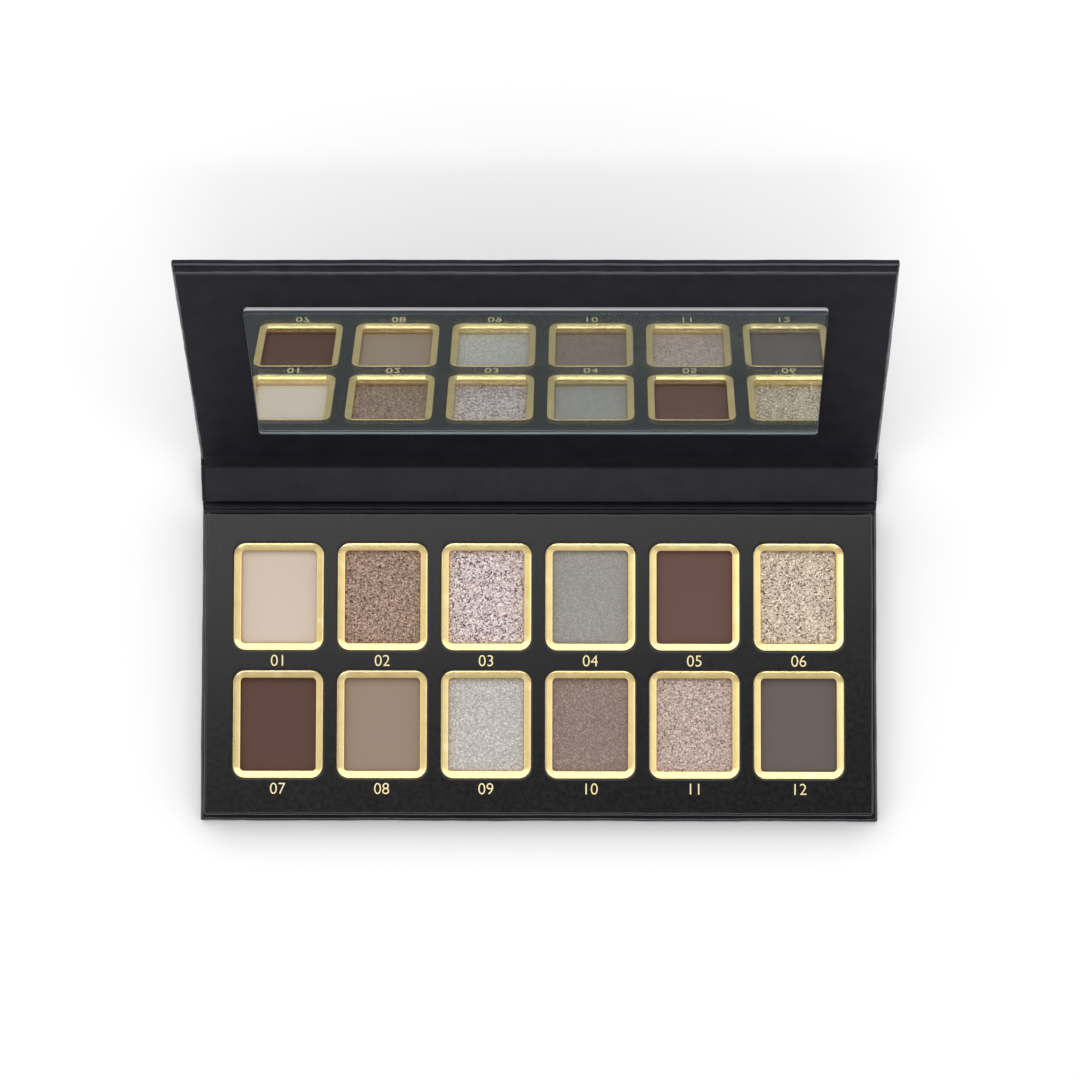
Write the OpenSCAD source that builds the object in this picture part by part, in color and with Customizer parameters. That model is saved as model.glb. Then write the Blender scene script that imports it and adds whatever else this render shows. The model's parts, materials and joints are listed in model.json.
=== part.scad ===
// Book-style eyeshadow palette: a cardboard cover with a mirrored lid, a spine that folds on two
// paper creases, and a tray that holds twelve pans in two rows.
// The origin is the centre of the base's underside. +X is right, +Y is towards the spine, +Z is up.

/* [Cover] */
// Width of the base, along the creases
cover_w = 180.4; // [178:0.1:196]
// Width of the lid and the spine
lid_w = 181.2; // [178:0.1:196]
// Depth of the base, from its front edge to the rear crease
base_d = 83.4; // [83.4:0.2:90]
// Depth of the lid, from the lid crease to its front edge
lid_d = 83.3; // [83:0.1:90]
// Thickness of the base with its paper
base_t = 2; // [1.6:0.1:3]
// Thickness of the lid's cover board with its paper
lid_t = 2; // [1.6:0.1:2.4]
// Thickness of the panel inside the lid with its paper
panel_t = 2.2; // [1.6:0.1:2.2]
// Distance between the two creases
spine_l = 16.7; // [16.7:0.1:20]
// Thickness of the wrapping paper
paper_t = 0.3; // [0.2:0.05:0.3]
// Radius of the cover's corners
cover_corner_r = 0.8; // [0.4:0.1:2]

/* [Opening] */
// Slope of the spine from the table
spine_slope = 15.9; // [0:0.1:60]
// Slope of the lid from the table
lid_slope = 61.05; // [20:0.05:100]

/* [Tray] */
// How far the cover stands out round the tray
lip_w = 1.65; // [1.65:0.05:2.4]
// Height of the tray's top above the table
tray_top_z = 9.8; // [9.4:0.1:10.2]
// Thickness of the tray's top card
card_t = 0.5; // [0.3:0.1:0.6]
// Thickness of the board under the pans
well_board_t = 2.1; // [1.6:0.1:2.1]
// Distance between pans along the width
pitch_x = 27.58; // [27:0.01:28]
// Distance between the two rows of pans
pitch_y = 33.86; // [33.4:0.01:34]
// Distance of the pan grid behind the middle of the base
grid_y = 0.76; // [0:0.01:1]

/* [Pans] */
// Width of the gold trim
trim_w = 23.9; // [23.6:0.1:24.4]
// Depth of the gold trim
trim_d = 28.55; // [28.2:0.05:29]
// Thickness of the gold trim's face
trim_t = 0.6; // [0.5:0.1:0.8]
// Outer corner radius of the gold trim
trim_r = 3.3; // [2:0.1:4]
// Width of the opening in the trim
opening_w = 20; // [19.5:0.1:20]
// Depth of the opening in the trim
opening_d = 24.5; // [24:0.1:24.6]
// Corner radius of the opening in the trim
opening_r = 1; // [0.6:0.1:1.5]
// Width of a pan
pan_w = 21.6; // [21.2:0.1:21.7]
// Depth of a pan
pan_d = 26.1; // [25.8:0.1:26.2]
// Height of a pan
pan_h = 4.5; // [4:0.1:4.5]
// Corner radius of a pan
pan_r = 1.6; // [1:0.1:2]
// Thickness of the tinplate
tin_t = 0.3; // [0.2:0.05:0.3]
// Depth of the powder's face below the tray's top
powder_drop = 2.35; // [1.6:0.05:3]

/* [Mirror] */
// Width of the mirror
mirror_w = 147; // [130:1:150]
// Height of the mirror along the lid
mirror_d = 53.9; // [48:0.1:58]
// Thickness of the mirror's glass
glass_t = 1.5; // [1:0.1:1.5]
// Corner radius of the mirror
mirror_r = 1; // [0.5:0.1:3]

/* [Catch] */
// Diameter of the magnets
magnet_dia = 6; // [4:0.5:6]
// Thickness of the magnets
magnet_t = 1.5; // [1:0.1:2]
// Distance from the middle to each magnet
magnet_x = 60; // [40:1:80]
// Diameter of the steel catch plates in the lid
plate_dia = 8; // [6:0.5:9]
// Thickness of the steel catch plates
plate_t = 0.8; // [0.5:0.1:1]

/* [Hidden] */
$fn = 48;

columns = 6;
rows = 2;

// Creases: the paper bends at the middle of its thickness
crease_z = paper_t / 2;
crease_a = [0, base_d / 2, crease_z];
crease_b = crease_a + spine_l * [0, cos(spine_slope), sin(spine_slope)];
crease_gap = 0.25;

// How far the paper is turned in over the inner faces of the boards
turn_in = 15;
glue_t = 0.3;

// Tray
tray_w = cover_w - 2 * lip_w;
tray_d = base_d - 2 * lip_w;
card_z = tray_top_z - card_t;
well_board_z = base_t + well_board_t;
well_gap = 0.15;
trim_gap = 0.1;

// Pans
pan_z = well_board_z + glue_t;
powder_top_z = tray_top_z - powder_drop;
pad_w = 12;
pad_d = 16;

// Gold trims: each has a collar that stands inside its pan, clear of the wall and of the powder
collar_gap = 0.15;
collar_w = pan_w - 2 * (tin_t + collar_gap);
collar_d = pan_d - 2 * (tin_t + collar_gap);
collar_r = opening_r + 0.3;
collar_z = powder_top_z + 0.1;

// Spine, measured from the rear crease: the board clears the base below it and the lid above it
spine_board_t = 1.1;
spine_lining_t = 0.15;
spine_board_start = base_t + 0.2;
spine_board_end = spine_l - lid_t - panel_t - 0.3;

// Lid, measured from the lid crease and from the middle of its outer paper
lid_start = 0.3;
panel_inset = 0.5;
panel_h = lid_t - crease_z;
panel_top_h = panel_h + panel_t;
tape_t = 0.2;
backing_t = 0.1;
mirror_s = lid_d / 2;

// Catch: the magnets lie under the tray's top card, in front of the pans
magnet_y = -tray_d / 2 + 5;
magnet_cover = 0.4;
plate_s = crease_a.y - magnet_y;

cover_black = "#29282d";
card_black = "#35353a";
board_grey = "#8d877d";
gold = "#d9b65c";
tin = "#b9babd";
powder_colors = [
    "#d3c3b5", "#957e70", "#c4b0ad", "#97938f", "#6a514b", "#bfae9e",
    "#604842", "#9a8779", "#b7b3af", "#8b7a72", "#b4a29a", "#6a615f"
];

// A flat rectangle with round corners, centred on the origin
module round_rect(w, d, r) {
    square([w - 2 * r, d], center = true);
    square([w, d - 2 * r], center = true);
    for (x = [-1, 1], y = [-1, 1])
        translate([x * (w / 2 - r), y * (d / 2 - r)])
            circle(r);
}

// A plate with round corners that stands on height z
module plate(w, d, t, r, z = 0) {
    translate([0, 0, z])
        linear_extrude(t)
            round_rect(w, d, r);
}

// Places its children in the middle of pan i, where 0 is the left pan of the back row
module at_pan(i) {
    column = i % columns;
    row = floor(i / columns);
    translate([(column - (columns - 1) / 2) * pitch_x, grid_y + ((rows - 1) / 2 - row) * pitch_y, 0])
        children();
}

module at_every_pan() {
    for (i = [0 : columns * rows - 1])
        at_pan(i)
            children();
}

// Spine and lid frames: +Y runs from the crease up the panel, +Z points to its inner side
module on_spine() {
    translate(crease_a)
        rotate([spine_slope, 0, 0])
            children();
}

module on_lid() {
    translate(crease_b)
        rotate([lid_slope, 0, 0])
            children();
}

// A band of panel between two distances from its crease
module panel(w, from, to, t, r, z) {
    translate([0, (from + to) / 2, 0])
        plate(w, to - from, t, r, z);
}

// Paper wrapped round a board and turned in, with a window left in the inner face
module wrap(w, from, to, t, z) {
    difference() {
        panel(w, from, to, t, cover_corner_r, z);
        panel(w - 2 * paper_t, from + paper_t, to - paper_t, t - 2 * paper_t,
            cover_corner_r - paper_t, z + paper_t);
        panel(w - 2 * turn_in, from + turn_in, to - turn_in, t, cover_corner_r, z + t / 2);
    }
}

module bottom_board() {
    color(board_grey)
        panel(cover_w - 2 * paper_t, paper_t - base_d / 2, base_d / 2 - crease_gap - paper_t,
            base_t - 2 * paper_t, cover_corner_r - paper_t, paper_t);
}

module bottom_wrap() {
    color(cover_black)
        wrap(cover_w, -base_d / 2, base_d / 2 - crease_gap, base_t, 0);
}

module base_glue_sheet() {
    color("ivory")
        panel(cover_w - 2 * turn_in, turn_in - base_d / 2, base_d / 2 - crease_gap - turn_in,
            paper_t, cover_corner_r, base_t - paper_t);
}

module well_board() {
    color(board_grey)
        plate(tray_w - 2 * paper_t, tray_d - 2 * paper_t, well_board_t, cover_corner_r, base_t);
}

module frame_board() {
    color(board_grey)
        difference() {
            plate(tray_w - 2 * paper_t, tray_d - 2 * paper_t, card_z - well_board_z,
                cover_corner_r, well_board_z);
            at_every_pan()
                plate(pan_w + 2 * well_gap, pan_d + 2 * well_gap, tray_top_z, pan_r + well_gap);
            magnets(magnet_t + magnet_cover);
        }
}

module tray_band() {
    color(card_black)
        difference() {
            plate(tray_w, tray_d, card_z - base_t, cover_corner_r + paper_t, base_t);
            plate(tray_w - 2 * paper_t, tray_d - 2 * paper_t, tray_top_z, cover_corner_r);
        }
}

module tray_card() {
    color(card_black)
        difference() {
            plate(tray_w, tray_d, card_t, cover_corner_r + paper_t, card_z);
            at_every_pan()
                plate(trim_w + 2 * trim_gap, trim_d + 2 * trim_gap, tray_top_z, trim_r + trim_gap);
        }
}

// Round magnets or their pockets, hanging down from the underside of the tray's top card
module magnets(depth) {
    for (x = [-magnet_x, magnet_x])
        translate([x, magnet_y, card_z - depth])
            cylinder(h = depth, d = magnet_dia);
}

module base_magnets() {
    color(tin)
        translate([0, 0, -magnet_cover])
            magnets(magnet_t);
}

module pan_glue_pads() {
    color("ivory")
        at_every_pan()
            plate(pad_w, pad_d, glue_t, pan_r, well_board_z);
}

module pan(i) {
    color(tin)
        at_pan(i)
            difference() {
                plate(pan_w, pan_d, pan_h, pan_r, pan_z);
                plate(pan_w - 2 * tin_t, pan_d - 2 * tin_t, pan_h, pan_r - tin_t, pan_z + tin_t);
            }
}

module powder(i) {
    color(powder_colors[i])
        at_pan(i)
            plate(pan_w - 2 * tin_t, pan_d - 2 * tin_t, powder_top_z - pan_z - tin_t,
                pan_r - tin_t, pan_z + tin_t);
}

module gold_trim(i) {
    color(gold)
        at_pan(i)
            difference() {
                union() {
                    plate(trim_w, trim_d, trim_t, trim_r, card_z);
                    plate(collar_w, collar_d, card_z - collar_z, collar_r, collar_z);
                }
                plate(opening_w, opening_d, 2 * tray_top_z, opening_r);
            }
}

module spine_board() {
    color(board_grey)
        on_spine()
            panel(lid_w - 2 * paper_t, spine_board_start, spine_board_end, spine_board_t,
                cover_corner_r - paper_t, crease_z);
}

module spine_wrap() {
    color(cover_black)
        on_spine()
            panel(lid_w, crease_gap, spine_l - crease_gap, paper_t, paper_t, -crease_z);
}

module spine_lining() {
    color(cover_black)
        on_spine()
            panel(lid_w - 2 * paper_t, spine_board_start, spine_board_end, spine_lining_t,
                cover_corner_r - paper_t, crease_z + spine_board_t);
}

// Round steel plates or their pockets, under the paper of the lid's inner panel
module catch_plates() {
    for (x = [-magnet_x, magnet_x])
        translate([x, plate_s, panel_top_h - paper_t - plate_t])
            cylinder(h = plate_t, d = plate_dia);
}

module lid_board() {
    color(board_grey)
        on_lid()
            panel(lid_w - 2 * paper_t, lid_start + paper_t, lid_d - paper_t,
                lid_t - 2 * paper_t, cover_corner_r - paper_t, crease_z);
}

module lid_wrap() {
    color(cover_black)
        on_lid()
            wrap(lid_w, lid_start, lid_d, lid_t, -crease_z);
}

module lid_panel_board() {
    color(board_grey)
        on_lid()
            difference() {
                panel(lid_w - 2 * (panel_inset + paper_t), lid_start + paper_t,
                    lid_d - panel_inset - paper_t, panel_t - paper_t, cover_corner_r - paper_t,
                    panel_h);
                catch_plates();
            }
}

// The panel's paper covers its face and its edges, and its back is glued to the lid
module lid_panel_wrap() {
    color(cover_black)
        on_lid()
            difference() {
                panel(lid_w - 2 * panel_inset, lid_start, lid_d - panel_inset, panel_t,
                    cover_corner_r, panel_h);
                panel(lid_w - 2 * (panel_inset + paper_t), lid_start + paper_t,
                    lid_d - panel_inset - paper_t, panel_t - paper_t, cover_corner_r - paper_t,
                    panel_h);
            }
}

module lid_catch_plates() {
    color("silver")
        on_lid()
            catch_plates();
}

// A layer of the mirror, centred on the lid
module mirror_layer(t, h) {
    on_lid()
        translate([0, mirror_s, 0])
            plate(mirror_w, mirror_d, t, mirror_r, h);
}

module mirror_tape() {
    color("ivory")
        mirror_layer(tape_t, panel_top_h);
}

module mirror_backing() {
    color("dimgray")
        mirror_layer(backing_t, panel_top_h + tape_t);
}

module mirror_glass() {
    color("lightsteelblue")
        mirror_layer(glass_t, panel_top_h + tape_t + backing_t);
}

bottom_board();
bottom_wrap();
base_glue_sheet();
well_board();
frame_board();
tray_band();
tray_card();
base_magnets();
pan_glue_pads();
pan(0);  // pan_01
pan(1);  // pan_02
pan(2);  // pan_03
pan(3);  // pan_04
pan(4);  // pan_05
pan(5);  // pan_06
pan(6);  // pan_07
pan(7);  // pan_08
pan(8);  // pan_09
pan(9);  // pan_10
pan(10);  // pan_11
pan(11);  // pan_12
powder(0);  // powder_01
powder(1);  // powder_02
powder(2);  // powder_03
powder(3);  // powder_04
powder(4);  // powder_05
powder(5);  // powder_06
powder(6);  // powder_07
powder(7);  // powder_08
powder(8);  // powder_09
powder(9);  // powder_10
powder(10);  // powder_11
powder(11);  // powder_12
gold_trim(0);  // gold_trim_01
gold_trim(1);  // gold_trim_02
gold_trim(2);  // gold_trim_03
gold_trim(3);  // gold_trim_04
gold_trim(4);  // gold_trim_05
gold_trim(5);  // gold_trim_06
gold_trim(6);  // gold_trim_07
gold_trim(7);  // gold_trim_08
gold_trim(8);  // gold_trim_09
gold_trim(9);  // gold_trim_10
gold_trim(10);  // gold_trim_11
gold_trim(11);  // gold_trim_12
spine_board();
spine_wrap();
spine_lining();
lid_board();
lid_wrap();
lid_panel_board();
lid_panel_wrap();
lid_catch_plates();
mirror_tape();
mirror_backing();
mirror_glass();
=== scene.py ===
"""A book-style eyeshadow palette: wrapped cardboard, gold-trimmed pans and a mirrored lid."""

import json
import math

import bmesh
import bpy
from mathutils import Matrix, Vector


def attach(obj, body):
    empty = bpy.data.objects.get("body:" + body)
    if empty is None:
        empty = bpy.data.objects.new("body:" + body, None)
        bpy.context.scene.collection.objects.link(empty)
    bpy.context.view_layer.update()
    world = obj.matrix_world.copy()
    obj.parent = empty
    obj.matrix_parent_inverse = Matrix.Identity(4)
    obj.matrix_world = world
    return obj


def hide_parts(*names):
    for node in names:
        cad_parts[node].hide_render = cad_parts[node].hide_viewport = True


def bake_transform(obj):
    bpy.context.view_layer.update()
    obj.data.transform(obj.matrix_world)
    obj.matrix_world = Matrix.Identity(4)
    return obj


MM = 0.001

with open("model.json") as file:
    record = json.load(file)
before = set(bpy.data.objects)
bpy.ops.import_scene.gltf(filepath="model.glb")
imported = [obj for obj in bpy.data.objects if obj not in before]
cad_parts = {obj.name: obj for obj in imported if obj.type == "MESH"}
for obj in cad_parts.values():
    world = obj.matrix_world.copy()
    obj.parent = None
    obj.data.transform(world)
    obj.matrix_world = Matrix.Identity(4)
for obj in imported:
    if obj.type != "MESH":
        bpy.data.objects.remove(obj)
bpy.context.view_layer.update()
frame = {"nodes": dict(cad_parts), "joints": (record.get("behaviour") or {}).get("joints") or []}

# ------------------------------------------------------------------ the cover's three panels

joints = {j["name"]: j for j in frame["joints"]}
SPINE_SLOPE = -joints["rear_crease"]["range_deg"][0]
LID_SLOPE = SPINE_SLOPE - joints["lid_crease"]["range_deg"][0]


def panel_frame(joint, slope):
    """Local axes of a panel, in metres: y runs up the panel from its crease, z is its inner side."""
    place = Matrix.Translation(Vector(joints[joint]["pos_m"]))
    return place @ Matrix.Rotation(math.radians(slope), 4, "X")


BASE = Matrix.Identity(4)
SPINE = panel_frame("rear_crease", SPINE_SLOPE)
LID = panel_frame("lid_crease", LID_SLOPE)


class Extent:
    """Box of a CAD node in a panel's own axes, in millimetres."""

    def __init__(self, node, place=BASE):
        back = place.inverted()
        points = [back @ v.co / MM for v in frame["nodes"][node].data.vertices]
        self.low = Vector([min(p[i] for p in points) for i in range(3)])
        self.high = Vector([max(p[i] for p in points) for i in range(3)])
        self.mid = (self.low + self.high) / 2
        self.size = self.high - self.low


# ------------------------------------------------------------------ mesh building


def outline(w, d, r, nx=1, ny=1, corner=6):
    """Round-cornered rectangle, counterclockwise, as a list of (point, outward normal)."""
    made = []
    quarters = [(1, -1, ny), (1, 1, nx), (-1, 1, ny), (-1, -1, nx)]
    for k, (sx, sy, steps) in enumerate(quarters):
        centre = Vector((sx * (w / 2 - r), sy * (d / 2 - r)))
        for i in range(corner + 1):
            a = math.radians(90 * (k - 1) + 90 * i / corner)
            normal = Vector((math.cos(a), math.sin(a)))
            made.append((centre + r * normal, normal))
        nsx, nsy, _ = quarters[(k + 1) % 4]
        here = centre + r * normal
        there = Vector((nsx * (w / 2 - r), nsy * (d / 2 - r))) + r * normal
        for i in range(1, steps):
            made.append((here.lerp(there, i / steps), normal))
    return made


def ripple(t, waves, seed=0.0):
    """Smooth unevenness: a sum of (amplitude, wavelength) waves at distance t, in millimetres."""
    total = 0.0
    for k, (size, length) in enumerate(waves):
        total += size * math.sin(math.tau * t / length + 1.7 * k + seed)
    return total


def ring(shape, z, inset=0.0, centre=(0, 0), waves=(), seed=0.0):
    """The outline at height z, moved inwards, with a little waviness along it."""
    made = []
    for p, n in shape:
        along = p.x * 1.13 + p.y * 0.87
        q = p + n * (ripple(along, waves, seed) - inset)
        made.append((q.x + centre[0], q.y + centre[1], z))
    return made


class Solid:
    """Collects points and faces in millimetres, then makes a mesh object."""

    def __init__(self):
        self.bm = bmesh.new()

    def loop(self, points):
        return [self.bm.verts.new(p) for p in points]

    def join(self, a, b, slot=0):
        n = len(a)
        for i in range(n):
            face = self.bm.faces.new((a[i], a[(i + 1) % n], b[(i + 1) % n], b[i]))
            face.material_index = slot

    def loft(self, rings, closed=False, second=()):
        """Joins the rings in turn. The bands whose numbers are in second take the second material."""
        loops = [self.loop(r) for r in rings]
        for k, (a, b) in enumerate(zip(loops, loops[1:])):
            self.join(a, b, int(k in second))
        if closed:
            self.join(loops[-1], loops[0])
        return loops

    def cap(self, loop):
        self.bm.faces.new(loop)

    def fill(self, loops):
        """Fills the flat area between an outer loop and the holes in it."""
        edges = []
        for loop in loops:
            for i, v in enumerate(loop):
                edge = self.bm.edges.get((v, loop[(i + 1) % len(loop)]))
                edges.append(edge or self.bm.edges.new((v, loop[(i + 1) % len(loop)])))
        bmesh.ops.triangle_fill(self.bm, use_beauty=True, edges=edges)

    def done(self, name, *materials, place=BASE, smooth=40):
        bmesh.ops.recalc_face_normals(self.bm, faces=self.bm.faces)
        bmesh.ops.transform(self.bm, matrix=place @ Matrix.Scale(MM, 4), verts=self.bm.verts)
        mesh = bpy.data.meshes.new(name)
        self.bm.to_mesh(mesh)
        self.bm.free()
        for face in mesh.polygons:
            face.use_smooth = True
        mesh.set_sharp_from_angle(angle=math.radians(smooth))
        for material in materials:
            mesh.materials.append(material)
        made = bpy.data.objects.new(name, mesh)
        bpy.context.scene.collection.objects.link(made)
        return made


def chaikin(points, times=2):
    """Rounds the corners of an open line."""
    for _ in range(times):
        cut = [points[0]]
        for a, b in zip(points, points[1:]):
            cut += [a.lerp(b, 0.25), a.lerp(b, 0.75)]
        points = cut + [points[-1]]
    return points


def ribbon(name, line, thickness, halves, material):
    """Paper that follows a line in the y-z plane, as a closed solid, in millimetres.

    Its half width goes from halves[0] to halves[1] along the line.
    """
    line = chaikin(line)
    far = [0.0]
    for p, q in zip(line, line[1:]):
        far.append(far[-1] + (q - p).length)
    section = []
    for i, p in enumerate(line):
        d = (line[min(i + 1, len(line) - 1)] - line[max(i - 1, 0)]).normalized()
        t = far[i] / far[-1]
        half = halves[0] + (halves[1] - halves[0]) * t
        section.append((half, p, p - Vector((0, -d.z, d.y)) * thickness))
    steps = 90
    solid = Solid()
    rings = []
    for k in range(steps + 1):
        u = 2 * k / steps - 1
        upper = [(half * u, p.y, p.z) for half, p, _ in section]
        lower = [(half * u, q.y, q.z) for half, _, q in section]
        rings.append(upper + lower[::-1])
    loops = solid.loft(rings)
    solid.cap(loops[0][::-1])
    solid.cap(loops[-1])
    return solid.done(name, material)


# ------------------------------------------------------------------ materials


class Shader:
    """A Principled material with a few helpers for procedural detail."""

    def __init__(self, name, color, roughness, metallic=0.0, **sockets):
        self.material = bpy.data.materials.new(name)
        self.material.use_nodes = True
        self.nodes = self.material.node_tree.nodes
        self.links = self.material.node_tree.links
        self.bsdf = self.nodes["Principled BSDF"]
        self.put("Base Color", (*color, 1))
        self.put("Roughness", roughness)
        self.put("Metallic", metallic)
        for key, value in sockets.items():
            self.put(key.replace("_", " "), value)
        self.where = self.nodes.new("ShaderNodeTexCoord").outputs["Object"]

    def put(self, socket, value):
        self.bsdf.inputs[socket].default_value = value

    def noise(self, size_mm, detail=2.0, stretch=(1, 1, 1)):
        scale = self.nodes.new("ShaderNodeMapping")
        scale.inputs["Scale"].default_value = stretch
        self.links.new(self.where, scale.inputs["Vector"])
        made = self.nodes.new("ShaderNodeTexNoise")
        made.inputs["Scale"].default_value = 1 / (size_mm * MM)
        made.inputs["Detail"].default_value = detail
        self.links.new(scale.outputs["Vector"], made.inputs["Vector"])
        return made.outputs["Fac"]

    def cells(self, size_mm):
        made = self.nodes.new("ShaderNodeTexVoronoi")
        made.inputs["Scale"].default_value = 1 / (size_mm * MM)
        self.links.new(self.where, made.inputs["Vector"])
        return made

    def ramp(self, value, stops):
        made = self.nodes.new("ShaderNodeValToRGB")
        spots = made.color_ramp.elements
        while len(spots) < len(stops):
            spots.new(0.5)
        for spot, (at, color) in zip(spots, stops):
            spot.position = at
            spot.color = (*color, 1)
        self.links.new(value, made.inputs["Fac"])
        return made.outputs["Color"]

    def tilt(self, vector, amount):
        """Leans the surface by a random vector whose parts run from 0 to 1, as pearl flakes lie."""
        centred = self.nodes.new("ShaderNodeVectorMath")
        centred.operation = "SUBTRACT"
        centred.inputs[1].default_value = (0.5, 0.5, 0.5)
        self.links.new(vector, centred.inputs[0])
        lean = self.nodes.new("ShaderNodeVectorMath")
        lean.operation = "MULTIPLY_ADD"
        lean.inputs[1].default_value = (amount, amount, amount)
        self.links.new(centred.outputs["Vector"], lean.inputs[0])
        self.links.new(self.nodes.new("ShaderNodeNewGeometry").outputs["Normal"], lean.inputs[2])
        unit = self.nodes.new("ShaderNodeVectorMath")
        unit.operation = "NORMALIZE"
        self.links.new(lean.outputs["Vector"], unit.inputs[0])
        self.links.new(unit.outputs["Vector"], self.bsdf.inputs["Normal"])

    def spread(self, value, low, high):
        made = self.nodes.new("ShaderNodeMapRange")
        made.inputs["From Min"].default_value = 0.25
        made.inputs["From Max"].default_value = 0.75
        made.inputs["To Min"].default_value = low
        made.inputs["To Max"].default_value = high
        self.links.new(value, made.inputs["Value"])
        return made.outputs["Result"]

    def bump(self, height, depth_mm, strength=1.0):
        made = self.nodes.new("ShaderNodeBump")
        made.inputs["Strength"].default_value = strength
        made.inputs["Distance"].default_value = depth_mm * MM
        self.links.new(height, made.inputs["Height"])
        before = self.bsdf.inputs["Normal"].links
        if before:
            self.links.new(before[0].from_socket, made.inputs["Normal"])
        self.links.new(made.outputs["Normal"], self.bsdf.inputs["Normal"])

    def color(self, value):
        self.links.new(value, self.bsdf.inputs["Base Color"])

    def rough(self, value):
        self.links.new(value, self.bsdf.inputs["Roughness"])


def srgb(text):
    """A colour such as "d3c3b5" in linear light."""
    parts = [int(text[i : i + 2], 16) / 255 for i in (0, 2, 4)]
    return tuple(p / 12.92 if p <= 0.04045 else ((p + 0.055) / 1.055) ** 2.4 for p in parts)


def scaled(color, k):
    return tuple(min(1.0, c * k) for c in color)


PALE_GOLD = (0.9, 0.7, 0.33)


def black_paper(name, color, roughness, gloss):
    """Coated black paper: satin, with a faint fibre and soft unevenness."""
    s = Shader(name, color, roughness, Specular_IOR_Level=gloss)
    mottle = s.noise(6.0, 3)
    s.color(s.ramp(mottle, [(0.3, scaled(color, 0.85)), (0.7, scaled(color, 1.18))]))
    s.rough(s.spread(s.noise(1.2, 3), roughness - 0.04, roughness + 0.05))
    s.bump(s.noise(14.0, 2), 0.03, 0.4)
    s.bump(s.noise(0.3, 4, (1, 2.2, 1)), 0.004, 0.5)
    return s.material


def grey_board(name):
    s = Shader(name, srgb("8d877d"), 0.9)
    fibre = s.noise(0.5, 5, (1, 3, 1))
    s.color(s.ramp(fibre, [(0.3, srgb("756f66")), (0.7, srgb("a59f94"))]))
    s.bump(fibre, 0.03)
    return s.material


def gold_foil(name):
    """Pale polished foil: nearly even, with soft patches and a very fine rolled grain."""
    s = Shader(name, PALE_GOLD, 0.22, 1.0)
    patch = s.noise(5.0, 2)
    s.color(s.ramp(patch, [(0.3, scaled(PALE_GOLD, 0.93)), (0.6, PALE_GOLD), (0.75, (0.97, 0.8, 0.43))]))
    s.rough(s.spread(s.noise(1.5, 3), 0.18, 0.27))
    s.bump(s.noise(7.0, 1), 0.06, 0.5)
    s.bump(s.noise(0.35, 2, (1, 3, 1)), 0.0016, 0.4)
    return s.material


def stamped_foil(name):
    """The thin foil of the numbers: it takes the paper's grain, so it scatters light."""
    s = Shader(name, (0.95, 0.8, 0.47), 0.45, 0.55)
    s.rough(s.spread(s.noise(0.5, 3), 0.38, 0.55))
    s.bump(s.noise(0.2, 3), 0.004)
    return s.material


def plain_metal(name, color, roughness):
    s = Shader(name, color, roughness, 1.0)
    s.rough(s.spread(s.noise(0.4, 3, (1, 12, 1)), roughness - 0.06, roughness + 0.08))
    s.bump(s.noise(0.3, 3), 0.002, 0.5)
    return s.material


def glue(name):
    s = Shader(name, srgb("e6e2d6"), 0.5)
    s.bump(s.noise(1.0, 2), 0.05)
    return s.material


# flake size in mm, darkest and brightest flake, share of metal, how far flakes lean, roughness
FINISHES = {
    "satin": (0.25, 0.8, 1.25, 0.1, 0.25, 0.55),
    "shimmer": (0.29, 0.45, 1.8, 0.3, 0.5, 0.42),
    "glitter": (0.33, 0.3, 2.0, 0.42, 0.7, 0.35),
}


def pressed_powder(name, text, finish, contrast=1.0, shadow=None):
    """Pressed powder. The finish says how large and how bright its pearl flakes are."""
    color = srgb(text)
    s = Shader(name, color, 0.92, Specular_IOR_Level=0.1)
    if finish == "matte":
        fine = s.noise(0.3, 4)
        s.color(s.ramp(fine, [(0.3, scaled(color, 0.955)), (0.7, scaled(color, 1.045))]))
        s.bump(s.noise(3.0, 2), 0.04, 0.5)
        s.bump(fine, 0.008, 0.6)
        return s.material
    size, dark, light, metal, lean, rough = FINISHES[finish]
    deep = srgb(shadow) if shadow else scaled(color, 1 - (1 - dark) * contrast)
    bright = scaled(color, 1 + (light - 1) * contrast)
    flakes = s.cells(size)
    pick = s.nodes.new("ShaderNodeSeparateColor")
    s.links.new(flakes.outputs["Color"], pick.inputs["Color"])
    tones = [(0.02, deep), (0.35, scaled(color, 0.92)), (0.7, color), (1.0, bright)]
    s.color(s.ramp(pick.outputs["Red"], tones))
    s.put("Metallic", metal)
    s.rough(s.spread(pick.outputs["Green"], rough - 0.1, rough + 0.15))
    s.tilt(flakes.outputs["Color"], lean * contrast)
    s.bump(s.noise(size * 1.6, 2), 0.02, 0.5)
    return s.material


def mirror_glass(name):
    s = Shader(name, (0.93, 0.98, 0.97), 0.0, Transmission_Weight=1.0, IOR=1.5)
    return s.material


def ground_glass(name, color):
    """The mirror's glass edge with a rough ground finish: the pale copy is the ground edge's own colour, the
    dark grey copy is a painted reflection.
    """
    s = Shader(name, color, 0.4, Specular_IOR_Level=0.5)
    s.bump(s.noise(0.3, 3), 0.01)
    return s.material


def silvering(name):
    s = Shader(name, (0.86, 0.9, 0.91), 0.01, 1.0)
    s.color(s.ramp(s.noise(40.0, 1), [(0.3, (0.85, 0.895, 0.905)), (0.7, (0.87, 0.905, 0.915))]))
    return s.material


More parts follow.
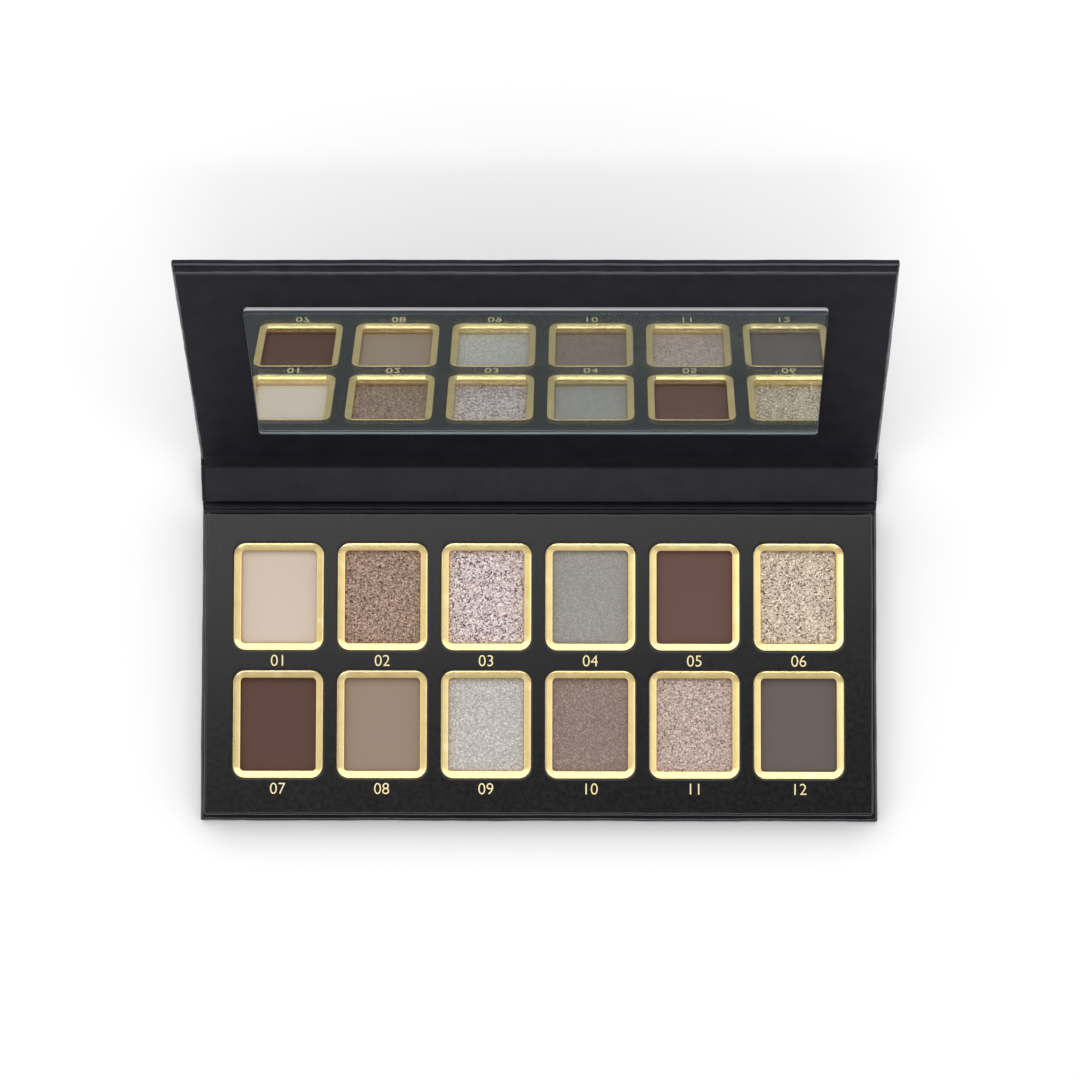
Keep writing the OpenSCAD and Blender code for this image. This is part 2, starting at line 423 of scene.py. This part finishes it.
COVER_PAPER = black_paper("cover_paper", (0.0142, 0.0137, 0.0197), 0.45, 0.1)
LINING_PAPER = black_paper("lining_paper", (0.016, 0.0155, 0.021), 0.36, 0.17)
EDGE_PAPER = black_paper("cover_paper_edge", (0.014, 0.0135, 0.017), 0.22, 0.75)
TRAY_PAPER = black_paper("tray_paper", (0.0055, 0.0052, 0.0053), 0.2, 0.49)
GREY_BOARD = grey_board("grey_board")
GOLD = gold_foil("gold_foil")
PRINT = stamped_foil("stamped_foil")
TIN = plain_metal("tinplate", srgb("c3c4c6"), 0.35)
STEEL = plain_metal("magnet_steel", srgb("9c9da0"), 0.3)
GLUE = glue("glue")
GLASS = mirror_glass("mirror_glass")
GLASS_EDGE = ground_glass("mirror_glass_edge", srgb("e4e4ee"))
# painted reflection: dark grey colour that stands in for the dark view seen into the glass through its edge
GLASS_EDGE_PAINTED_DARK = ground_glass("mirror_glass_edge_painted_reflection", srgb("4a5058"))
SILVER = silvering("mirror_silver")

# ------------------------------------------------------------------ base and tray

# how paper edges wander: (amplitude, wavelength) in mm
PAPER_WAVES = [(0.05, 61.0), (0.03, 23.0), (0.02, 9.0)]
PANEL_WAVES = [(0.06, 47.0), (0.05, 13.0), (0.04, 5.1)]
# a rounded edge, in steps of 15 degrees
ARC = [math.radians(90 * k / 6) for k in range(7)]
# flat rim inside a rounded edge, room that the wander takes, and corner radius at the edge and inside it
FLAT_RIM = 0.5
WANDER_ROOM = 0.1
BOARD_R = 0.45
LEAST_R = 0.2


def wrapped_board(name, node, place, body, edge_r, foot_r, waves, seed, drift):
    """A board wrapped in paper. Its rounded edges wander a little, more so where drift is large.

    A narrow flat rim inside each rounded edge keeps the shading of the big faces flat.
    """
    e = Extent(node, place)
    width, depth = e.size.x - WANDER_ROOM, e.size.y - WANDER_ROOM
    centre = (e.mid.x, e.mid.y)
    low, high = e.low.z, e.high.z
    rise = [(foot_r * (1 - math.sin(a)), low + foot_r * (1 - math.cos(a))) for a in ARC if foot_r]
    rise = [(foot_r + FLAT_RIM, low)] + rise if foot_r else [(0, low)]
    rise += [(edge_r * (1 - math.cos(a)), high - edge_r * (1 - math.sin(a))) for a in ARC]
    rise.append((edge_r + FLAT_RIM, high))
    solid = Solid()
    rings = []
    for k, (i, z) in enumerate(rise):
        shape = outline(width - 2 * i, depth - 2 * i, max(BOARD_R - i, LEAST_R), 150, 70, 4)
        rings.append(ring(shape, z, 0, centre, waves, seed + drift * k))
    edge_from, edge_to = len(rings) - len(ARC) - 1, len(rings) - 2
    loops = solid.loft(rings, second=range(edge_from, edge_to))
    solid.cap(loops[0][::-1])
    solid.cap(loops[-1])
    made = solid.done(name, COVER_PAPER, EDGE_PAPER, place=place)
    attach(made, body)
    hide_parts(node)


wrapped_board("base_cover", "bottom_wrap", BASE, "base", 0.7, 0.35, PAPER_WAVES, 0.4, 0.05)
wrapped_board("lid_cover", "lid_wrap", LID, "lid", 0.5, 0.6, PAPER_WAVES, 2.1, 0.12)
wrapped_board("lid_inner_panel", "lid_panel_wrap", LID, "lid", 0.55, 0, PANEL_WAVES, 0.9, 0.22)

PANS = ["%02d" % (i + 1) for i in range(12)]
CARD = Extent("tray_card")
CARD_R = 1.1
BAND_T = 0.3
WINDOW_GAP = 0.1
TRIM_R = 3.3


def tray():
    """The tray's black card with its twelve windows, and the paper round the tray's sides."""
    band = Extent("tray_band")
    shape = outline(CARD.size.x, CARD.size.y, CARD_R, 80, 36, 6)
    centre = (CARD.mid.x, CARD.mid.y)
    low, under, top = band.low.z, CARD.low.z, CARD.high.z
    edge = 0.7
    outer = [(0, low)] + [(edge * (1 - math.cos(a)), top - edge * (1 - math.sin(a))) for a in ARC]
    outer.append((edge + 0.2, top))
    solid = Solid()
    outside = solid.loft([ring(shape, z, i, centre, PAPER_WAVES[1:], 1.0) for i, z in outer])
    inside = solid.loft([ring(shape, z, BAND_T, centre) for z in (low, under)])
    solid.join(outside[0], inside[0])
    tops, bottoms = [outside[-1]], [inside[-1]]
    for n in PANS:
        t = Extent("gold_trim_" + n)
        hole = outline(t.size.x + 2 * WINDOW_GAP, t.size.y + 2 * WINDOW_GAP, TRIM_R, corner=10)
        spot = (t.mid.x, t.mid.y)
        # distance inwards from the window's wall, and height
        steps = [(-FLAT_RIM, top), (-0.22, top), (-0.1, top - 0.02), (-0.02, top - 0.08)]
        steps += [(0, top - 0.2), (0, under)]
        loops = solid.loft([ring(hole, z, i, spot) for i, z in steps])
        tops.append(loops[0])
        bottoms.append(loops[-1])
    solid.fill(tops)
    solid.fill(bottoms)
    made = solid.done("tray_cover", TRAY_PAPER, smooth=35)
    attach(made, "base")
    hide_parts("tray_card", "tray_band")


tray()

OPENING_W, OPENING_D, OPENING_R = 20.0, 24.5, 1.0
COLLAR_GAP = 0.1


def gold_trim(n):
    """A formed gold frame: a bead, a face that slopes down to the pan, and a collar inside it."""
    node = "gold_trim_" + n
    t = Extent(node)
    powder_top = Extent("powder_" + n).high.z
    outer = outline(t.size.x, t.size.y, TRIM_R, 6, 8, 10)
    inner = outline(OPENING_W, OPENING_D, OPENING_R, 6, 8, 10)
    top, low = t.high.z, CARD.low.z
    collar_low = powder_top + COLLAR_GAP
    # share of the way from the outer to the inner outline, and height
    section = [
        (0.0, low),
        (0.0, top - 0.2),
        (0.012, top - 0.1),
        (0.035, top - 0.03),
        (0.065, top),
        (0.1, top - 0.01),
        (0.2, top - 0.065),
        (0.35, top - 0.16),
        (0.6, top - 0.33),
        (0.84, top - 0.5),
        (0.93, top - 0.57),
        (0.985, top - 0.64),
        (1.0, top - 0.76),
        (1.0, collar_low),
        (0.94, collar_low),
        (0.94, low),
    ]
    solid = Solid()
    rings = []
    for share, z in section:
        made = []
        for (p, _), (q, _) in zip(outer, inner):
            m = p.lerp(q, share)
            made.append((m.x + t.mid.x, m.y + t.mid.y, z))
        rings.append(made)
    solid.loft(rings, closed=True)
    made = solid.done("gold_frame_" + n, GOLD, smooth=50)
    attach(made, "base")
    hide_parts(node)


for n in PANS:
    gold_trim(n)

# ------------------------------------------------------------------ powders

# colour, finish, contrast between its flakes, and colour of its darkest flakes
SHADES = [
    ("d3c3b5", "matte"),
    ("a1897a", "shimmer", 1.35, "4a362f"),
    ("d6c1be", "glitter", 1.15, "553846"),
    ("9e9a96", "satin"),
    ("6b524c", "matte"),
    ("cdbba9", "glitter", 0.85, "5c4c3e"),
    ("5f4741", "matte"),
    ("998678", "matte"),
    ("beb9b5", "shimmer", 0.6),
    ("8f7e76", "shimmer", 0.6),
    ("bba8a0", "shimmer", 0.95, "665650"),
    ("68605e", "matte"),
]


# how far single grains stand out of the face, in mm
GRAIN = {"matte": 0.006, "satin": 0.008, "shimmer": 0.014, "glitter": 0.03}
CAKE_R = 1.2
CAKE_GAP = 0.1
CAKE_RINGS = 11


def powder(n, seed, shade, finish, *flakes):
    """A pressed powder cake: its face is softly uneven and rounds off at the pan's wall."""
    node = "powder_" + n
    e = Extent(node)
    material = pressed_powder("shade_" + n, shade, finish, *flakes)
    shape = outline(e.size.x - CAKE_GAP, e.size.y - CAKE_GAP, CAKE_R, 34, 42, 5)
    centre = (e.mid.x, e.mid.y)
    face = e.high.z - 0.02
    solid = Solid()
    steps = [(0, e.low.z), (0, e.high.z - 0.25), (0.06, e.high.z - 0.1), (0.2, face)]
    loops = solid.loft([ring(shape, z, i, centre, [(0.03, 3.1)], seed) for i, z in steps])
    solid.cap(loops[0][::-1])
    last = loops[-1]
    for k in range(1, CAKE_RINGS):
        share = k / CAKE_RINGS
        made = []
        for v in loops[-1]:
            x = centre[0] + (v.co.x - centre[0]) * (1 - share)
            y = centre[1] + (v.co.y - centre[1]) * (1 - share)
            lift = 0.02 * math.sin(x * 1.1 + seed) * math.sin(y * 0.9 + seed)
            lift += GRAIN[finish] * math.sin(x * 9.1 + seed) * math.sin(y * 8.3 + 2 * seed)
            made.append((x, y, face + lift * min(1, 4 * share)))
        loop = solid.loop(made)
        solid.join(last, loop)
        last = loop
    solid.cap(last)
    made = solid.done("powder_cake_" + n, material, smooth=60)
    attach(made, "base")
    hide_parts(node)


for i, n in enumerate(PANS):
    powder(n, 1.3 * i, *SHADES[i])


NUMBER_SIZE = 4.3
NUMBER_FORWARD = 2.85
NUMBER_THINNER = 0.035
FOIL_T = 0.012


def number(n):
    """A foil-stamped shade number in front of its pan."""
    t = Extent("gold_trim_" + n)
    curve = bpy.data.curves.new("number_" + n, "FONT")
    curve.body = n
    curve.size = NUMBER_SIZE * MM
    curve.extrude = FOIL_T * MM
    curve.offset = -NUMBER_THINNER * MM
    curve.align_x = "CENTER"
    curve.align_y = "CENTER"
    text = bpy.data.objects.new("number_text_" + n, curve)
    bpy.context.scene.collection.objects.link(text)
    text.location = Vector((t.mid.x, t.low.y - NUMBER_FORWARD, CARD.high.z + FOIL_T + 0.002)) * MM
    bpy.context.view_layer.update()
    mesh = bpy.data.meshes.new_from_object(text.evaluated_get(bpy.context.evaluated_depsgraph_get()))
    mesh.transform(text.matrix_world)
    bpy.data.objects.remove(text)
    mesh.materials.clear()
    mesh.materials.append(PRINT)
    made = bpy.data.objects.new("number_" + n, mesh)
    bpy.context.scene.collection.objects.link(made)
    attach(made, "base")


for n in PANS:
    number(n)

# ------------------------------------------------------------------ creases

base = Extent("bottom_wrap")
spine_sheet = Extent("spine_wrap", SPINE)
spine_core = Extent("spine_board", SPINE)
spine_top = Extent("spine_lining", SPINE)
SPINE_L = (LID.translation - SPINE.translation).length / MM
SPINE_MID = SPINE_L / 2
# thickness of the inner lining and of the outer paper, and how far the lining stops short of the sides
LINING_T = 0.15
SKIN_T = 0.3
LINING_INSET = 1.1
BASE_HALF = base.high.x
SPINE_HALF = spine_sheet.high.x


def on_base(y, z):
    """A point of the y-z plane, in millimetres, given on the base."""
    return Vector((0, y, z))


def on_spine(s, h):
    """A point given by its distance up the spine and its height on the spine's inner side."""
    return SPINE @ (Vector((0, s, h)) * MM) / MM


def on_lid(s, h):
    """A point given by its distance up the lid and its height on the lid's inner side."""
    return LID @ (Vector((0, s, h)) * MM) / MM


def crease(name, line, thickness, halves, paper=COVER_PAPER, replaced=()):
    """Paper across a crease, made at rest along the given line with its placement baked in and no body
    attached.
    """
    made = ribbon(name, line, thickness, halves, paper)
    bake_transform(made)
    if replaced:
        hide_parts(*replaced)


back = base.high.y
face = spine_top.high.z + 0.03
board_from = spine_core.low.y
outer_h = spine_sheet.low.z


def spine_cover():
    """The paper turned in round the spine's board."""
    grow = 0.12
    shape = outline(spine_core.size.x + 2 * grow, spine_core.size.y + 2 * grow, 0.7, 120, 10, 4)
    centre = (spine_core.mid.x, spine_core.mid.y)
    low, high = outer_h + 0.02, spine_core.high.z + 0.04
    r = 0.3
    rise = [(r * (1 - math.sin(a)), low + r * (1 - math.cos(a))) for a in ARC]
    rise += [(r * (1 - math.cos(a)), high - r * (1 - math.sin(a))) for a in ARC]
    solid = Solid()
    loops = solid.loft([ring(shape, z, i, centre, [(0.03, 17.0)], 0.7) for i, z in rise])
    solid.cap(loops[0][::-1])
    solid.cap(loops[-1])
    made = solid.done("spine_cover", COVER_PAPER, place=SPINE)
    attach(made, "spine")


spine_cover()

crease(
    "rear_crease_skin",
    [on_base(back - 0.3, 0.0), on_base(back, 0.0), on_spine(0.3, outer_h), on_spine(0.8, outer_h)]
    + [on_spine(s, outer_h) for s in (2.0, 4.0, SPINE_MID)],
    -SKIN_T,
    (BASE_HALF, SPINE_HALF),
    replaced=["spine_wrap"],
)
crease(
    "lid_crease_skin",
    [on_spine(s, outer_h) for s in (SPINE_MID, 12.0, 15.0, SPINE_L - 0.4)]
    + [on_lid(s, outer_h) for s in (0.25, 0.5, 0.75)],
    -SKIN_T,
    (SPINE_HALF, SPINE_HALF),
)
crease(
    "rear_hinge_lining",
    [on_base(back - 1.2, 2.03), on_base(back - 0.4, 2.06), on_base(back, 2.02), on_base(back + 0.14, 1.6)]
    + [on_base(back + 0.16, 0.9), on_spine(0.55, 0.42), on_spine(1.5, 0.4), on_spine(1.95, 0.6)]
    + [on_spine(board_from - 0.15, 1.0), on_spine(board_from + 0.05, face), on_spine(board_from + 0.8, face)]
    + [on_spine(s, face) for s in (5.0, SPINE_MID)],
    LINING_T,
    (BASE_HALF - 0.4, SPINE_HALF - LINING_INSET),
    paper=LINING_PAPER,
    replaced=["spine_lining"],
)
panel_h = Extent("lid_panel_wrap", LID).high.z
# how the lining comes down on the lid's panel: distance up the lid, and height above the panel
LANDING = [(-1.6, 0.28), (-0.5, 0.22), (0.3, 0.14), (1.0, 0.09), (2.2, 0.07)]

crease(
    "lid_hinge_lining",
    [on_spine(s, face) for s in (SPINE_MID, 10.0, 11.2, 11.7)]
    + [on_lid(s, panel_h + h) for s, h in LANDING],
    LINING_T,
    (SPINE_HALF - LINING_INSET, SPINE_HALF - 1.3),
    paper=LINING_PAPER,
)

# ------------------------------------------------------------------ mirror


MIRROR_R = 1.0


def mirror():
    """The glass plate in front of the silvered layer.

    Its ground edge is white near the silvering; further up, below a small polished bevel, the edge is
    painted dark grey as a painted reflection of the dark view into the glass.
    """
    glass = Extent("mirror_glass", LID)
    shape = outline(glass.size.x, glass.size.y, MIRROR_R, 1, 1, 8)
    centre = (glass.mid.x, glass.mid.y)
    low, high = glass.low.z, glass.high.z
    white_edge, bevel = 0.6, 0.09
    section = [(0.03, low), (0.0, low + 0.05), (0.0, low + white_edge)]
    section += [(0.02, high - bevel), (bevel, high)]
    solid = Solid()
    loops = solid.loft([ring(shape, z, i, centre) for i, z in section])
    solid.cap(loops[0][::-1])
    solid.cap(loops[-1])
    made = solid.done("mirror_plate", GLASS, GLASS_EDGE, GLASS_EDGE_PAINTED_DARK, place=LID, smooth=20)
    lid_axes = LID.inverted()
    for polygon in made.data.polygons:
        h = (lid_axes @ polygon.center).z / MM
        if low + 0.01 < h < high - bevel:
            # above the white band the edge takes the painted dark reflection (slot 2)
            polygon.material_index = 2 if h > low + white_edge else 1
    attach(made, "lid")
    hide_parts("mirror_glass")


mirror()

# ------------------------------------------------------------------ CAD nodes that stay as they are

KEPT = {
    "bottom_board": GREY_BOARD,
    "well_board": GREY_BOARD,
    "frame_board": GREY_BOARD,
    "spine_board": GREY_BOARD,
    "lid_board": GREY_BOARD,
    "lid_panel_board": GREY_BOARD,
    "base_glue_sheet": GLUE,
    "pan_glue_pads": GLUE,
    "mirror_tape": GLUE,
    "base_magnets": STEEL,
    "lid_catch_plates": STEEL,
    "mirror_backing": SILVER,
}
KEPT.update({"pan_" + n: TIN for n in PANS})
for node, material in KEPT.items():
    mesh = frame["nodes"][node].data
    mesh.materials.clear()
    mesh.materials.append(material)

# ------------------------------------------------------------------ stage, light and camera


FLOOR_SIZE = 6
FLOOR_DROP = 0.0002


def floor():
    bpy.ops.mesh.primitive_plane_add(size=FLOOR_SIZE, location=(0, 0, -FLOOR_DROP))
    made = bpy.context.object
    made.name = "floor"
    s = Shader("floor_white", (0.98, 0.98, 0.98), 0.9, Specular_IOR_Level=0.0)
    made.data.materials.append(s.material)


def area_light(name, power, size, place, target=(0, 0.02, 0)):
    data = bpy.data.lights.new(name, "AREA")
    data.shape = "RECTANGLE"
    data.size, data.size_y = size
    data.energy = power
    made = bpy.data.objects.new(name, data)
    bpy.context.scene.collection.objects.link(made)
    made.location = place
    made.rotation_euler = (Vector(target) - Vector(place)).to_track_quat("-Z", "Y").to_euler()


# brightness of the surroundings from the horizon (0) to overhead (1), and from front (-1) to back (1)
SKY_BY_HEIGHT = [(0, 1.1), (0.5, 1.05), (0.7, 0.9), (0.85, 0.57), (0.95, 0.2), (1, 0.06)]
SKY_BY_DEPTH = [(-1, 0.45), (-0.72, 0.5), (-0.57, 0.95), (0.2, 1), (0.6, 0.45), (1, 0.4)]


def studio_world():
    """Soft light from all round: dark straight overhead, and dimmer low in front and behind."""
    world = bpy.data.worlds.new("studio")
    world.use_nodes = True
    nodes, links = world.node_tree.nodes, world.node_tree.links
    apart = nodes.new("ShaderNodeSeparateXYZ")
    links.new(nodes.new("ShaderNodeTexCoord").outputs["Generated"], apart.inputs["Vector"])

    def ramp(value, stops):
        shift = nodes.new("ShaderNodeMapRange")
        shift.inputs["From Min"].default_value = -1
        links.new(value, shift.inputs["Value"])
        made = nodes.new("ShaderNodeValToRGB")
        spots = made.color_ramp.elements
        while len(spots) < len(stops):
            spots.new(0.5)
        for spot, (at, level) in zip(spots, stops):
            spot.position = (at + 1) / 2
            spot.color = (level, level, level, 1)
        links.new(shift.outputs["Result"], made.inputs["Fac"])
        return made.outputs["Color"]

    height = ramp(apart.outputs["Z"], SKY_BY_HEIGHT)
    depth = ramp(apart.outputs["Y"], SKY_BY_DEPTH)
    both = nodes.new("ShaderNodeMix")
    both.data_type = "RGBA"
    both.blend_type = "MULTIPLY"
    both.inputs["Factor"].default_value = 1
    colors = [i for i in both.inputs if i.type == "RGBA"]
    links.new(height, colors[0])
    links.new(depth, colors[1])
    mixed = [o for o in both.outputs if o.type == "RGBA"][0]
    links.new(mixed, nodes["Background"].inputs["Color"])
    bpy.context.scene.world = world


floor()
area_light("key_softbox", 15, (2.0, 1.5), (-0.12, 0.74, 1.28))
area_light("right_fill", 1.6, (1.2, 1.2), (1.2, 0.1, 0.9))
area_light("front_strip", 1.5, (0.5, 0.1), (0.02, -0.45, 1.2))
studio_world()
bpy.context.scene.view_settings.view_transform = "Standard"

camera = bpy.data.cameras.new("camera")
camera.sensor_width = 36
camera.lens = 123.05
camera.clip_start = 0.05
viewpoint = bpy.data.objects.new("camera", camera)
bpy.context.scene.collection.objects.link(viewpoint)
viewpoint.location = (0.01456, -0.03472, 0.98771)
viewpoint.rotation_euler = [math.radians(a) for a in (3.952, 0.822, 0.124)]
bpy.context.scene.camera = viewpoint
